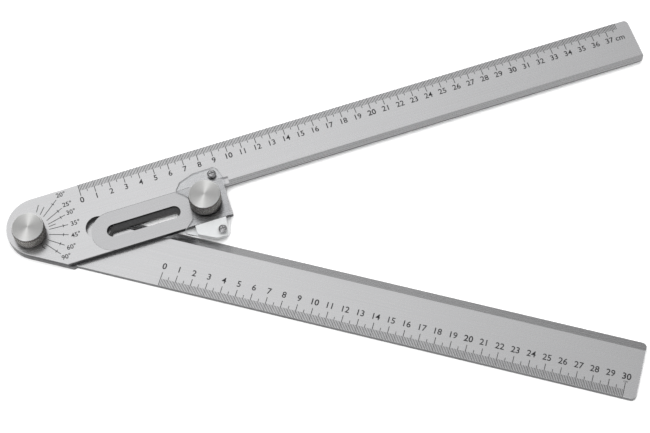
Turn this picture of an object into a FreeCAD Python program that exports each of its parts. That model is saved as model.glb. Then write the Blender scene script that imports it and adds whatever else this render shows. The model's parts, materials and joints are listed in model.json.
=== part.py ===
import FreeCAD, Part
import math
import os

# Bevel protractor: two graduated aluminium rules that turn about one clamped pivot.
# Millimetres. +X runs along the upper rule, +Y towards its graduated edge, +Z up.
# The origin is on the pivot axis, in the plane that the lower rule lies on.

# ---- driving dimensions -------------------------------------------------------------
RULE_THICKNESS = 3.5         # both rules are cut from the same flat bar
OPEN_ANGLE = 33.5            # degrees between the two rules as set

UPPER_REACH = 425.5          # pivot axis to the tip of the upper rule
UPPER_EDGE = 25.0            # pivot axis to its graduated edge
UPPER_FOOT = 7.0             # pivot axis to the foot of its bevelled edge
UPPER_BEVEL = 2.9            # width of that bevel
BEVEL_LAND = 0.8             # square land left under each bevel
TIP_RADIUS = 3.2             # rounded corners at the far end of each rule

HEAD_RADIUS = 21.0           # rounded end of the upper rule
HEAD_DEPTH = 29.0            # pivot axis to the lower edge of the head
HEAD_CENTRE_X = 6.2          # centre of the round end, just past the pivot axis
HEAD_CORNER_RADIUS = 1.0
SHOULDER_X = 129.0           # where the deep head steps back to the rule
SHOULDER_RADIUS = 1.0

LOWER_REACH = 399.0          # pivot axis to the tip of the lower rule
LOWER_EDGE = 12.3            # pivot axis to its graduated edge
LOWER_FOOT = 27.3            # pivot axis to the foot of its bevelled edge
LOWER_BEVEL = 6.2
LOWER_END_X = 3.0            # centre of its round pivot end

SLIDE_THICKNESS = 1.5        # the slotted bar let into the head
SLIDE_TOP_Y = -1.3           # its upper edge
SLIDE_TRAVEL = 4.0
SLIDE_SLOT_WIDTH = 9.0
SLIDE_SLOT_START = 47.5
SLIDE_SLOT_END = 97.0
SLIDE_END_LAND = 10.0        # metal between its round end and that slot
SLIDE_CORNER_RADIUS = 0.8

WINDOW_WIDTH = 4.8           # sight window in the floor under the slide's slot
WINDOW_START = 50.0
WINDOW_END = 95.0
NOTCH_RADIUS = 8.2           # finger notch at the slide's round end
NOTCH_X = 43.0
NOTCH_Y = -9.7

STRIP_THICKNESS = 0.5        # friction strip under the slide
STRIP_START = 52.5
STRIP_END = 103.0
STRIP_TOP_Y = -4.6
STRIP_MARGIN = 0.5           # land between the strip and the sight window

KEEPER_THICKNESS = 1.5       # clear plate over the slide
EAR_SCREW_UPPER = (123.6, 2.6)
EAR_SCREW_LOWER = (119.2, -38.4)
KEEPER_UPPER_EAR = ((7.2, -6.2, 2.0), (3.8, 5.4, 3.5), (-11.6, 5.0, 6.0),
                    (-21.6, 1.6, 3.0), (-26.1, -4.1, 1.5))   # x, y from its screw, corner radius
KEEPER_WAIST = ((-10.1, 7.5, 5.0), (-11.3, -9.5, 5.0))       # the same from the slide's stud
KEEPER_LOWER_EAR = ((-25.2, 5.8, 2.5), (-5.7, -5.4, 5.0), (3.1, -5.8, 3.5), (6.8, 4.9, 2.0))
FOOT_LIP_HEIGHT = 1.7        # part of the foot that bears on the head's edge
FOOT_NEAR_X = 4.6            # its ends, from the lower screw
FOOT_FAR_X = -16.2
FOOT_SIDE = ((FOOT_FAR_X, 2.6, 1.5), (-5.2, -3.9, 4.0), (2.3, -4.2, 2.5))   # as the ears

PIVOT_SHOULDER_DIAMETER = 8.0
PIVOT_THREAD_DIAMETER = 6.0
PIVOT_HEAD_DIAMETER = 13.0
SPACER_THICKNESS = 0.3
SPACER_DIAMETER = 20.0
BUSH_DIAMETER = 11.0
BUSH_FLANGE_DIAMETER = 15.0
BUSH_FLANGE_THICKNESS = 0.5
SPRING_DIAMETER = 14.0
SPRING_METAL = 0.45
SPRING_HEIGHT = 0.75
WASHER_THICKNESS = 0.6
WASHER_DIAMETER = 15.0

SLIDE_STUD_X = 114.4
SLIDE_STUD_DIAMETER = 5.0
SLIDE_STUD_HEAD_DIAMETER = 9.0
SLIDE_STUD_HEAD_HEIGHT = 0.9

KNOB_DIAMETER = 21.4
KNOB_HEIGHT = 10.3
KNOB_SKIRT_GAP = 0.4         # air under the knob's skirt
KNOB_BAND_MARGIN = 0.7       # plain rim above and below the knurling
KNURL_DEPTH = 0.4
KNURL_TEETH = 60
KNOB_RIM = 0.35              # ring of the knob left around its cap
CAP_SEAT_DEPTH = 1.2
CAP_STAND = 0.3              # how far the cap stands above the rim
THREAD_ENGAGEMENT = 7.0

SCREW_DIAMETER = 3.0
SCREW_HEAD_DIAMETER = 5.8
SCREW_HEAD_HEIGHT = 2.1
SCREW_LENGTH = 4.6
RECESS_WIDTH = 0.8
RECESS_SPAN = 3.2
RECESS_DEPTH = 1.2
INSERT_DIAMETER = 4.6
INSERT_LENGTH = 3.0

SEAT_CLEARANCE = 0.02        # pressed and screwed pieces
RUN_CLEARANCE = 0.05         # turning on a shaft
SLIDE_CLEARANCE = 0.15       # slide in its rebate
HOLE_CLEARANCE = 0.25        # a bolt through a plain hole
EDGE_BREAK = 0.25            # small chamfer on handled edges

# ---- places worked out from those ---------------------------------------------------
UPPER_BOTTOM = RULE_THICKNESS + SPACER_THICKNESS
FACE_Z = UPPER_BOTTOM + RULE_THICKNESS
SLIDE_BOTTOM = FACE_Z - SLIDE_THICKNESS
KEEPER_TOP = FACE_Z + KEEPER_THICKNESS
SLIDE_LEFT = SLIDE_SLOT_START - SLIDE_END_LAND
SLIDE_RADIUS = (SLIDE_TOP_Y + HEAD_DEPTH) / 2
SLIDE_Y = SLIDE_TOP_Y - SLIDE_RADIUS
WINDOW_Y = SLIDE_Y - SLIDE_SLOT_WIDTH / 2 + WINDOW_WIDTH / 2
CUT = 1.0                    # overrun of a cutting body past a face


def vec(x, y, z=0.0):
    return FreeCAD.Vector(x, y, z)


def up():
    return vec(0, 0, 1)


def filleted_wire(corners, z):
    """Closed outline through (x, y, radius) corners, each rounded by its radius."""
    count = len(corners)
    starts = []
    ends = []
    middles = []
    for index in range(count):
        x, y, radius = corners[index]
        here = vec(x, y, z)
        before = (vec(*corners[index - 1][:2], z) - here).normalize()
        after = (vec(*corners[(index + 1) % count][:2], z) - here).normalize()
        half = before.getAngle(after) / 2
        reach = radius / math.tan(half) if radius else 0.0
        starts.append(here + before * reach)
        ends.append(here + after * reach)
        bisector = (before + after).normalize()
        middles.append(here + bisector * (radius / math.sin(half) - radius))
    edges = []
    for index in range(count):
        if corners[index][2]:
            edges.append(Part.Arc(starts[index], middles[index], ends[index]).toShape())
        following = (index + 1) % count
        edges.append(Part.LineSegment(ends[index], starts[following]).toShape())
    return Part.Wire(edges)


def plate(corners, z, thickness):
    return Part.Face(filleted_wire(corners, z)).extrude(vec(0, 0, thickness))


def disc(x, y, z, diameter, height):
    return Part.makeCylinder(diameter / 2, height, vec(x, y, z), up())


def obround(start_x, end_x, y, width, z, height):
    """Slot-shaped body between two x ends, rounded by half its width."""
    radius = width / 2
    first = start_x + radius
    last = end_x - radius
    bar = Part.makeBox(last - first, width, height, vec(first, y - radius, z))
    body = bar.fuse([disc(first, y, z, width, height), disc(last, y, z, width, height)])
    return body.removeSplitter()


def revolve(profile):
    """Body of revolution about the Z axis from (radius, z) points."""
    points = [vec(radius, 0, z) for radius, z in profile]
    face = Part.Face(Part.makePolygon(points + points[:1]))
    return face.revolve(vec(0, 0, 0), up(), 360)


def break_edges(solid, z, size=EDGE_BREAK):
    """Chamfer the edges that lie wholly in the plane at height z."""
    def lies_flat(edge):
        box = edge.BoundBox
        return abs(box.ZMin - z) < 1e-6 and abs(box.ZMax - z) < 1e-6
    return solid.makeChamfer(size, [edge for edge in solid.Edges if lies_flat(edge)])


def bevel_cutter(start_x, end_x, face_y, foot_y, bottom_z):
    """Wedge that planes a rule's edge down from its face to the square land."""
    top = bottom_z + RULE_THICKNESS
    land = bottom_z + BEVEL_LAND
    slope = (land - top) / (foot_y - face_y)
    over_in = face_y - math.copysign(CUT, foot_y - face_y)
    over_out = foot_y + math.copysign(CUT, foot_y - face_y)
    section = [(over_in, top + slope * (over_in - face_y)),
               (over_out, top + slope * (over_out - face_y)),
               (over_out, top + CUT + RULE_THICKNESS),
               (over_in, top + CUT + RULE_THICKNESS)]
    points = [vec(start_x, y, z) for y, z in section]
    return Part.Face(Part.makePolygon(points + points[:1])).extrude(vec(end_x - start_x, 0, 0))


# ---- upper rule ---------------------------------------------------------------------
def flank_x(y):
    """Where the slanted flank, or its line produced past the round end, crosses height y."""
    slant = math.radians(OPEN_ANGLE)
    touch_x = HEAD_CENTRE_X - HEAD_RADIUS * math.sin(slant)
    touch_y = UPPER_EDGE - HEAD_RADIUS - HEAD_RADIUS * math.cos(slant)
    return touch_x + (touch_y - y) / math.tan(slant)


def upper_outline():
    return [(UPPER_REACH, UPPER_EDGE, TIP_RADIUS),
            (flank_x(UPPER_EDGE), UPPER_EDGE, HEAD_RADIUS),
            (flank_x(-HEAD_DEPTH), -HEAD_DEPTH, HEAD_CORNER_RADIUS),
            (SHOULDER_X, -HEAD_DEPTH, SLIDE_CORNER_RADIUS),
            (SHOULDER_X, -UPPER_FOOT, SHOULDER_RADIUS),
            (UPPER_REACH, -UPPER_FOOT, TIP_RADIUS)]


def slide_rebate():
    """Pocket for the slide, open at the head's lower edge and run on past the shoulder."""
    radius = SLIDE_RADIUS + SLIDE_CLEARANCE
    centre_x = SLIDE_LEFT + SLIDE_RADIUS
    height = SLIDE_THICKNESS + CUT
    end_x = SHOULDER_X + SLIDE_TRAVEL + SLIDE_CLEARANCE
    width = 2 * radius + CUT
    run = Part.makeBox(end_x - centre_x, width, height,
                       vec(centre_x, SLIDE_Y - radius - CUT, SLIDE_BOTTOM))
    return run.fuse(disc(centre_x, SLIDE_Y, SLIDE_BOTTOM, 2 * radius, height))


def strip_corners(margin=0.0):
    bottom_y = WINDOW_Y + WINDOW_WIDTH / 2 + STRIP_MARGIN - margin
    top_y = STRIP_TOP_Y + margin
    return [(STRIP_END + margin, top_y, 1.0),
            (STRIP_START - margin, top_y, 1.0),
            (STRIP_START - margin, bottom_y, 1.0),
            (STRIP_END + margin, bottom_y, 1.0)]


def make_upper_rule():
    body = plate(upper_outline(), UPPER_BOTTOM, RULE_THICKNESS)
    body = break_edges(body, FACE_Z)
    body = body.cut(bevel_cutter(SHOULDER_X, UPPER_REACH + CUT, UPPER_BEVEL - UPPER_FOOT,
                                 -UPPER_FOOT, UPPER_BOTTOM))
    below = UPPER_BOTTOM - CUT
    through = RULE_THICKNESS + 2 * CUT
    cutters = [slide_rebate(),
               disc(NOTCH_X, NOTCH_Y, below, 2 * NOTCH_RADIUS, through),
               obround(WINDOW_START, WINDOW_END, WINDOW_Y, WINDOW_WIDTH, below, through),
               plate(strip_corners(SEAT_CLEARANCE), SLIDE_BOTTOM - STRIP_THICKNESS, CUT),
               disc(0, 0, below, BUSH_DIAMETER + 2 * SEAT_CLEARANCE, through),
               disc(SLIDE_STUD_X, SLIDE_Y, below, SLIDE_STUD_DIAMETER + 2 * SEAT_CLEARANCE,
                    through),
               disc(SLIDE_STUD_X, SLIDE_Y, below, SLIDE_STUD_HEAD_DIAMETER + 2 * SEAT_CLEARANCE,
                    CUT + SLIDE_STUD_HEAD_HEIGHT),
               disc(*EAR_SCREW_UPPER, below, SCREW_DIAMETER + 2 * SEAT_CLEARANCE, through)]
    return body.cut(cutters).removeSplitter()


# ---- lower rule ---------------------------------------------------------------------
def lower_frame(solid):
    """Turn a body built along +X into the lower rule's direction."""
    turned = solid.copy()
    turned.rotate(vec(0, 0, 0), up(), -OPEN_ANGLE)
    return turned


def make_lower_rule():
    end_radius = (LOWER_EDGE + LOWER_FOOT) / 2
    left = LOWER_END_X - end_radius
    corners = [(LOWER_REACH, LOWER_FOOT, TIP_RADIUS),
               (left, LOWER_FOOT, end_radius - EDGE_BREAK / 10),
               (left, -LOWER_EDGE, end_radius - EDGE_BREAK / 10),
               (LOWER_REACH, -LOWER_EDGE, TIP_RADIUS)]
    body = break_edges(plate(corners, 0, RULE_THICKNESS), RULE_THICKNESS)
    bevel = bevel_cutter(LOWER_END_X + 2 * end_radius, LOWER_REACH + CUT,
                         LOWER_FOOT - LOWER_BEVEL, LOWER_FOOT, 0)
    sink = pivot_stud_head(SEAT_CLEARANCE)
    hole = disc(0, 0, -CUT, PIVOT_SHOULDER_DIAMETER + 2 * SEAT_CLEARANCE, RULE_THICKNESS + 2 * CUT)
    return lower_frame(body.cut([bevel, hole, sink]).removeSplitter())


# ---- pivot --------------------------------------------------------------------------
def pivot_stud_head(margin=0.0):
    """Countersunk head, flush with the lower rule's underside."""
    radius = PIVOT_HEAD_DIAMETER / 2 + margin
    neck = PIVOT_SHOULDER_DIAMETER / 2 + margin
    return Part.makeCone(radius, neck, radius - neck, vec(0, 0, 0), up())


def pivot_seat_height():
    """Height above the face where the pivot knob bears."""
    return BUSH_FLANGE_THICKNESS + SPRING_HEIGHT + WASHER_THICKNESS


def make_pivot_stud():
    shoulder_top = FACE_Z + BUSH_FLANGE_THICKNESS
    thread_top = FACE_Z + pivot_seat_height() + THREAD_ENGAGEMENT - EDGE_BREAK
    shoulder = disc(0, 0, 0, PIVOT_SHOULDER_DIAMETER, shoulder_top)
    thread = disc(0, 0, shoulder_top, PIVOT_THREAD_DIAMETER, thread_top - shoulder_top)
    return shoulder.fuse([pivot_stud_head(), break_edges(thread, thread_top)]).removeSplitter()


def make_pivot_spacer():
    ring = disc(0, 0, RULE_THICKNESS, SPACER_DIAMETER, SPACER_THICKNESS)
    bore = PIVOT_SHOULDER_DIAMETER + 2 * RUN_CLEARANCE
    return ring.cut(disc(0, 0, RULE_THICKNESS, bore, SPACER_THICKNESS))


def make_pivot_bush():
    outer = BUSH_DIAMETER / 2
    inner = PIVOT_SHOULDER_DIAMETER / 2 + RUN_CLEARANCE
    flange = BUSH_FLANGE_DIAMETER / 2
    top = FACE_Z + BUSH_FLANGE_THICKNESS
    return revolve([(inner, UPPER_BOTTOM), (outer, UPPER_BOTTOM), (outer, FACE_Z),
                    (flange, FACE_Z), (flange, top), (inner, top)])


def make_pivot_disc_spring():
    """Conical spring washer that keeps the joint firm with the knob just slack."""
    base = FACE_Z + BUSH_FLANGE_THICKNESS
    inner = PIVOT_SHOULDER_DIAMETER / 2 + HOLE_CLEARANCE
    outer = SPRING_DIAMETER / 2
    rise = SPRING_HEIGHT - SPRING_METAL
    return revolve([(inner, base + rise), (outer, base), (outer, base + SPRING_METAL),
                    (inner, base + SPRING_HEIGHT)])


def make_washer(x, y, z, bolt_diameter):
    bore = bolt_diameter + 2 * HOLE_CLEARANCE
    return disc(x, y, z, WASHER_DIAMETER, WASHER_THICKNESS).cut(disc(x, y, z, bore, WASHER_THICKNESS))


# ---- knobs --------------------------------------------------------------------------
def knurl_ring(height):
    """Straight-knurled band: a toothed outline drawn up into a prism."""
    crest = KNOB_DIAMETER / 2
    root = crest - KNURL_DEPTH
    points = []
    for step in range(2 * KNURL_TEETH):
        radius = root if step % 2 else crest
        angle = math.pi * step / KNURL_TEETH
        points.append(vec(radius * math.cos(angle), radius * math.sin(angle)))
    return Part.Face(Part.makePolygon(points + points[:1])).extrude(vec(0, 0, height))


def make_knob(x, y, surface_z, seat_height, bolt_diameter):
    """Knurled clamp knob: hollow under its skirt, threaded blind, seated for a cap."""
    band = knurl_ring(KNOB_HEIGHT - 2 * KNOB_BAND_MARGIN)
    band.translate(vec(0, 0, KNOB_BAND_MARGIN))
    body = disc(0, 0, 0, KNOB_DIAMETER - 2 * KNURL_DEPTH, KNOB_HEIGHT).fuse(band)
    hollow = seat_height - KNOB_SKIRT_GAP
    body = body.cut([disc(0, 0, 0, WASHER_DIAMETER + 2 * HOLE_CLEARANCE, hollow),
                     disc(0, 0, 0, bolt_diameter + 2 * RUN_CLEARANCE, hollow + THREAD_ENGAGEMENT),
                     disc(0, 0, KNOB_HEIGHT - CAP_SEAT_DEPTH, cap_diameter() + 2 * SEAT_CLEARANCE,
                          CAP_SEAT_DEPTH)])
    body.translate(vec(x, y, surface_z + KNOB_SKIRT_GAP))
    return body.removeSplitter()


def cap_diameter():
    return KNOB_DIAMETER - 2 * (KNURL_DEPTH + KNOB_RIM)


def make_cap(x, y, surface_z):
    """Turned disc pressed into the knob's top, its rim chamfered."""
    seat = surface_z + KNOB_SKIRT_GAP + KNOB_HEIGHT - CAP_SEAT_DEPTH
    height = CAP_SEAT_DEPTH + CAP_STAND
    return break_edges(disc(x, y, seat, cap_diameter(), height), seat + height)


# ---- slide and its keeper -----------------------------------------------------------
def make_slide_bar():
    end_radius = SLIDE_RADIUS - EDGE_BREAK / 10
    corners = [(SHOULDER_X, SLIDE_TOP_Y, SLIDE_CORNER_RADIUS),
               (SLIDE_LEFT, SLIDE_TOP_Y, end_radius),
               (SLIDE_LEFT, -HEAD_DEPTH, end_radius),
               (SHOULDER_X, -HEAD_DEPTH, SLIDE_CORNER_RADIUS)]
    body = plate(corners, SLIDE_BOTTOM, SLIDE_THICKNESS)
    stud_slot = SLIDE_STUD_DIAMETER + 2 * HOLE_CLEARANCE
    slots = [obround(SLIDE_SLOT_START, SLIDE_SLOT_END, SLIDE_Y, SLIDE_SLOT_WIDTH,
                     SLIDE_BOTTOM, SLIDE_THICKNESS),
             obround(SLIDE_STUD_X - stud_slot / 2 - SLIDE_TRAVEL, SLIDE_STUD_X + stud_slot / 2,
                     SLIDE_Y, stud_slot, SLIDE_BOTTOM, SLIDE_THICKNESS)]
    return body.cut(slots).removeSplitter()


def make_friction_strip():
    return plate(strip_corners(), SLIDE_BOTTOM - STRIP_THICKNESS, STRIP_THICKNESS)


def make_slide_stud():
    """Stud clinched into the head's floor, its thin head flush underneath."""
    seat = KEEPER_THICKNESS + WASHER_THICKNESS
    top = FACE_Z + seat + THREAD_ENGAGEMENT - EDGE_BREAK
    shank = disc(SLIDE_STUD_X, SLIDE_Y, UPPER_BOTTOM, SLIDE_STUD_DIAMETER, top - UPPER_BOTTOM)
    head = disc(SLIDE_STUD_X, SLIDE_Y, UPPER_BOTTOM, SLIDE_STUD_HEAD_DIAMETER,
                SLIDE_STUD_HEAD_HEIGHT)
    return break_edges(shank, top).fuse(head).removeSplitter()


def shifted(points, place):
    return [(place[0] + x, place[1] + y, radius) for x, y, radius in points]


def make_keeper_plate():
    """Clear plate that holds the slide down, with an ear past each of its edges."""
    corners = (shifted(KEEPER_UPPER_EAR, EAR_SCREW_UPPER)
               + shifted(KEEPER_WAIST, (SLIDE_STUD_X, SLIDE_Y))
               + shifted(KEEPER_LOWER_EAR, EAR_SCREW_LOWER))
    body = break_edges(plate(corners, FACE_Z, KEEPER_THICKNESS), KEEPER_TOP)
    hole = SCREW_DIAMETER + 2 * HOLE_CLEARANCE
    return body.cut([disc(*EAR_SCREW_UPPER, FACE_Z, hole, KEEPER_THICKNESS),
                     disc(*EAR_SCREW_LOWER, FACE_Z, hole, KEEPER_THICKNESS),
                     disc(SLIDE_STUD_X, SLIDE_Y, FACE_Z, SLIDE_STUD_DIAMETER + 2 * HOLE_CLEARANCE,
                          KEEPER_THICKNESS)])


def foot_corners(edge_y):
    screw_x = EAR_SCREW_LOWER[0]
    return [(screw_x + FOOT_NEAR_X, edge_y, 0),
            (screw_x + FOOT_FAR_X, edge_y, 0)] + shifted(FOOT_SIDE, EAR_SCREW_LOWER)


def make_keeper_foot():
    """Block under the lower ear: its lip bears on the head's edge and squares the plate."""
    lip = plate(foot_corners(-HEAD_DEPTH), UPPER_BOTTOM, FOOT_LIP_HEIGHT)
    edge_y = -HEAD_DEPTH - 2 * SLIDE_CLEARANCE
    block = plate(foot_corners(edge_y), UPPER_BOTTOM, RULE_THICKNESS)
    pocket = disc(*EAR_SCREW_LOWER, FACE_Z - INSERT_LENGTH, INSERT_DIAMETER + 2 * SEAT_CLEARANCE,
                  INSERT_LENGTH)
    return lip.fuse(block).cut(pocket).removeSplitter()


def make_foot_insert():
    """Brass thread insert that takes the lower ear's screw."""
    floor = FACE_Z - INSERT_LENGTH
    sleeve = disc(*EAR_SCREW_LOWER, floor, INSERT_DIAMETER, INSERT_LENGTH)
    return sleeve.cut(disc(*EAR_SCREW_LOWER, floor + BEVEL_LAND / 4, SCREW_DIAMETER + 2 * SEAT_CLEARANCE,
                           INSERT_LENGTH))


def make_keeper_screw(place, length):
    """Pan-head screw with a cross recess."""
    x, y = place
    radius = SCREW_HEAD_DIAMETER / 2
    crown = SCREW_HEAD_HEIGHT * 0.45
    head = revolve([(0, 0), (radius, 0), (radius, SCREW_HEAD_HEIGHT - crown),
                    (radius * 0.86, SCREW_HEAD_HEIGHT - crown * 0.35), (radius * 0.55, SCREW_HEAD_HEIGHT),
                    (0, SCREW_HEAD_HEIGHT)])
    shank = disc(0, 0, -length, SCREW_DIAMETER, length)
    recess_z = SCREW_HEAD_HEIGHT - RECESS_DEPTH
    arm = Part.makeBox(RECESS_SPAN, RECESS_WIDTH, RECESS_DEPTH + CUT,
                       vec(-RECESS_SPAN / 2, -RECESS_WIDTH / 2, recess_z))
    cross = arm.copy()
    cross.rotate(vec(0, 0, 0), up(), 90)
    screw = head.fuse(shank).cut([arm, cross]).removeSplitter()
    screw.translate(vec(x, y, KEEPER_TOP))
    return screw


# ---- the whole instrument -----------------------------------------------------------
def build():
    slide_seat = WASHER_THICKNESS
    insert_grip = KEEPER_THICKNESS + INSERT_LENGTH - BEVEL_LAND / 2
    return {
        "upper_rule": make_upper_rule(),
        "lower_rule": make_lower_rule(),
        "pivot_stud": make_pivot_stud(),
        "pivot_spacer": make_pivot_spacer(),
        "pivot_bush": make_pivot_bush(),
        "pivot_disc_spring": make_pivot_disc_spring(),
        "pivot_washer": make_washer(0, 0, FACE_Z + pivot_seat_height() - WASHER_THICKNESS,
                                    PIVOT_THREAD_DIAMETER),
        "pivot_knob": make_knob(0, 0, FACE_Z, pivot_seat_height(), PIVOT_THREAD_DIAMETER),
        "pivot_knob_cap": make_cap(0, 0, FACE_Z),
        "slide_bar": make_slide_bar(),
        "friction_strip": make_friction_strip(),
        "slide_stud": make_slide_stud(),
        "slide_washer": make_washer(SLIDE_STUD_X, SLIDE_Y, KEEPER_TOP, SLIDE_STUD_DIAMETER),
        "slide_knob": make_knob(SLIDE_STUD_X, SLIDE_Y, KEEPER_TOP, slide_seat, SLIDE_STUD_DIAMETER),
        "slide_knob_cap": make_cap(SLIDE_STUD_X, SLIDE_Y, KEEPER_TOP),
        "keeper_plate": make_keeper_plate(),
        "keeper_foot": make_keeper_foot(),
        "foot_insert": make_foot_insert(),
        "keeper_screw_upper": make_keeper_screw(EAR_SCREW_UPPER, SCREW_LENGTH),
        "keeper_screw_lower": make_keeper_screw(EAR_SCREW_LOWER, insert_grip),
    }


os.makedirs("parts", exist_ok=True)
for name, shape in build().items():
    shape.exportStep(os.path.join("parts", name + ".step"))
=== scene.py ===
import json
import math
import bmesh
import bpy
from mathutils import Matrix, Vector


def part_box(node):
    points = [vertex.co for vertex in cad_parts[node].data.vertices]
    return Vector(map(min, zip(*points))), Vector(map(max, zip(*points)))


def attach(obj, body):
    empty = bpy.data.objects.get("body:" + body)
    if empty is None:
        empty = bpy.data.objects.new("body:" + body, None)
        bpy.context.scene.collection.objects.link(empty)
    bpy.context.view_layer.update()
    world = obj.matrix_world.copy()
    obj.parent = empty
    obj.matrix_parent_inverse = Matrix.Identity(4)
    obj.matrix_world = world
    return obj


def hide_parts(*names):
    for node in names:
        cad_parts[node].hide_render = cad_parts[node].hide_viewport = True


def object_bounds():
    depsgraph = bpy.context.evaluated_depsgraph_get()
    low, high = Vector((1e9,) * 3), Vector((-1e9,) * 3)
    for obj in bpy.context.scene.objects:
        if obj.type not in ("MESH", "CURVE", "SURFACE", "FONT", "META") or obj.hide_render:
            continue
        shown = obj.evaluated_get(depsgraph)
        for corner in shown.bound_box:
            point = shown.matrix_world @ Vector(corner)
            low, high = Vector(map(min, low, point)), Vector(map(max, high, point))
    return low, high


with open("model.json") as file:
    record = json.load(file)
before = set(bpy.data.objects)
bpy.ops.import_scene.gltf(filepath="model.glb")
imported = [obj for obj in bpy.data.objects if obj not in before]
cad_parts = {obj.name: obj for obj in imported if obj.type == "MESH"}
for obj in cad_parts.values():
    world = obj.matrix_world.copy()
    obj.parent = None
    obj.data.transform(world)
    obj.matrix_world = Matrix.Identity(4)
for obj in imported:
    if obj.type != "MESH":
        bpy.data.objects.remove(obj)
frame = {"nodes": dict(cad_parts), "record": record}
cad_box = [list(corner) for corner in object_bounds()]


# ---- Lower rule ----------------------------------------------------------------------
# A flat bar of drawn aluminium with one long edge planed to a bevel and a round pivot end.
# It is satin anodised with fine drawing lines along its faces, and its milled sides carry painted
# shade.
MM = 0.001
LOWER_FACE = (0.655, 0.655, 0.665)
# Painted shade: dark colour of the upright sides, for the dark surroundings that they mirror.
LOWER_SIDE_SHADE = (0.110, 0.110, 0.113)
FINE_LINES = (16.0, 2400.0, 3.0)
BROAD_LINES = (4.0, 330.0, 2.0)
BROAD_SHARE = 0.8
CLOUD_SCALE = 22.0
CLOUD_SHARE = 0.7
GRAIN_MIDDLE = 1.25
GRAIN_GLOSS = (0.24, 0.32)
GRAIN_BUMP = 0.08
GRAIN_DEPTH = 0.01 * MM
CUTTER_SCALE = (420.0, 420.0, 60.0)
CUTTER_MARKS = 0.9


def add(tree, kind, values=None, **settings):
    """New shader node, with its inputs set to numbers or linked from other sockets."""
    node = tree.nodes.new("ShaderNode" + kind)
    for key, value in settings.items():
        setattr(node, key, value)
    for key, value in (values or {}).items():
        socket = node.inputs[key]
        if isinstance(value, bpy.types.NodeSocket):
            tree.links.new(value, socket)
        else:
            socket.default_value = value
    return node


def sums(tree, operation, first, second):
    return add(tree, "Math", {0: first, 1: second}, operation=operation).outputs[0]


def spread(tree, value, low, high, new_low, new_high):
    """The value moved from one range to another and held inside it."""
    ranges = {"Value": value, "From Min": low, "From Max": high,
              "To Min": new_low, "To Max": new_high}
    return add(tree, "MapRange", ranges).outputs[0]


def blended(tree, mask, first, second):
    mixer = add(tree, "Mix", {0: mask, 6: first, 7: second}, data_type="RGBA")
    return mixer.outputs[2]


def shader_group(name, inputs, outputs):
    """Empty node group with its named sockets; gives the tree and both ends."""
    tree = bpy.data.node_groups.new(name, "ShaderNodeTree")
    for title, kind, value in inputs:
        socket = tree.interface.new_socket(title, in_out="INPUT", socket_type="NodeSocket" + kind)
        socket.default_value = value
    for title, kind in outputs:
        tree.interface.new_socket(title, in_out="OUTPUT", socket_type="NodeSocket" + kind)
    return tree, tree.nodes.new("NodeGroupInput").outputs, tree.nodes.new("NodeGroupOutput").inputs


def streaks(tree, coordinates, along, across, detail):
    """Noise drawn out along X, with so many streaks to a metre along and across."""
    drawn = add(tree, "Mapping", {"Vector": coordinates, "Scale": (along, across, across)})
    return add(tree, "TexNoise", {"Vector": drawn.outputs[0], "Scale": 1.0, "Detail": detail,
                                  "Roughness": 0.6}).outputs[0]


def make_drawn_grain():
    """Lines left along the bar by the drawing die and the brushing before anodising."""
    tree, given, result = shader_group(
        "drawn_grain",
        [("Angle", "Float", 0.0), ("Contrast", "Float", 0.1)],
        [("Shade", "Float"), ("Lines", "Float")])
    place = add(tree, "TexCoord").outputs["Object"]
    turned = add(tree, "VectorRotate", {"Vector": place, "Angle": given["Angle"]},
                 rotation_type="Z_AXIS").outputs[0]
    fine = streaks(tree, turned, *FINE_LINES)
    broad = streaks(tree, turned, *BROAD_LINES)
    cloud = add(tree, "TexNoise", {"Vector": turned, "Scale": CLOUD_SCALE, "Detail": 2.0}).outputs[0]
    both = sums(tree, "ADD", sums(tree, "MULTIPLY", broad, BROAD_SHARE),
                sums(tree, "MULTIPLY", cloud, CLOUD_SHARE))
    total = sums(tree, "SUBTRACT", sums(tree, "ADD", fine, both), GRAIN_MIDDLE)
    shade = sums(tree, "ADD", sums(tree, "MULTIPLY", total, given["Contrast"]), 1.0)
    tree.links.new(shade, result["Shade"])
    tree.links.new(fine, result["Lines"])
    return tree


def make_upright_side():
    """Mask of the upright faces that take painted shade, with the cutter's marks along them."""
    tree, given, result = shader_group(
        "upright_side", [("Marks", "Float", 0.5)], [("Side", "Float"), ("Shade", "Float")])
    coordinates = add(tree, "TexCoord")
    normal = add(tree, "SeparateXYZ", {0: coordinates.outputs["Normal"]})
    level = add(tree, "Math", {0: normal.outputs["Z"]}, operation="ABSOLUTE").outputs[0]
    tree.links.new(spread(tree, level, 0.45, 0.62, 1.0, 0.0), result["Side"])
    cuts = add(tree, "Mapping", {"Vector": coordinates.outputs["Object"], "Scale": CUTTER_SCALE})
    chatter = add(tree, "TexNoise", {"Vector": cuts.outputs[0], "Scale": 1.0, "Detail": 3.0}).outputs[0]
    swing = sums(tree, "MULTIPLY", sums(tree, "SUBTRACT", chatter, 0.5), given["Marks"])
    tree.links.new(sums(tree, "ADD", swing, 1.0), result["Shade"])
    return tree


def grouped(tree, group, values=None):
    node = tree.nodes.new("ShaderNodeGroup")
    node.node_tree = group
    for key, value in (values or {}).items():
        if isinstance(value, bpy.types.NodeSocket):
            tree.links.new(value, node.inputs[key])
        else:
            node.inputs[key].default_value = value
    return node.outputs


def new_material(name, **values):
    """Material with one Principled shader; gives the material, its tree and the shader."""
    material = bpy.data.materials.new(name)
    material.use_nodes = True
    shader = material.node_tree.nodes["Principled BSDF"]
    for key, value in values.items():
        shader.inputs[key.replace("_", " ")].default_value = value
    return material, material.node_tree, shader


drawn_grain = make_drawn_grain()
upright_side = make_upright_side()


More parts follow.
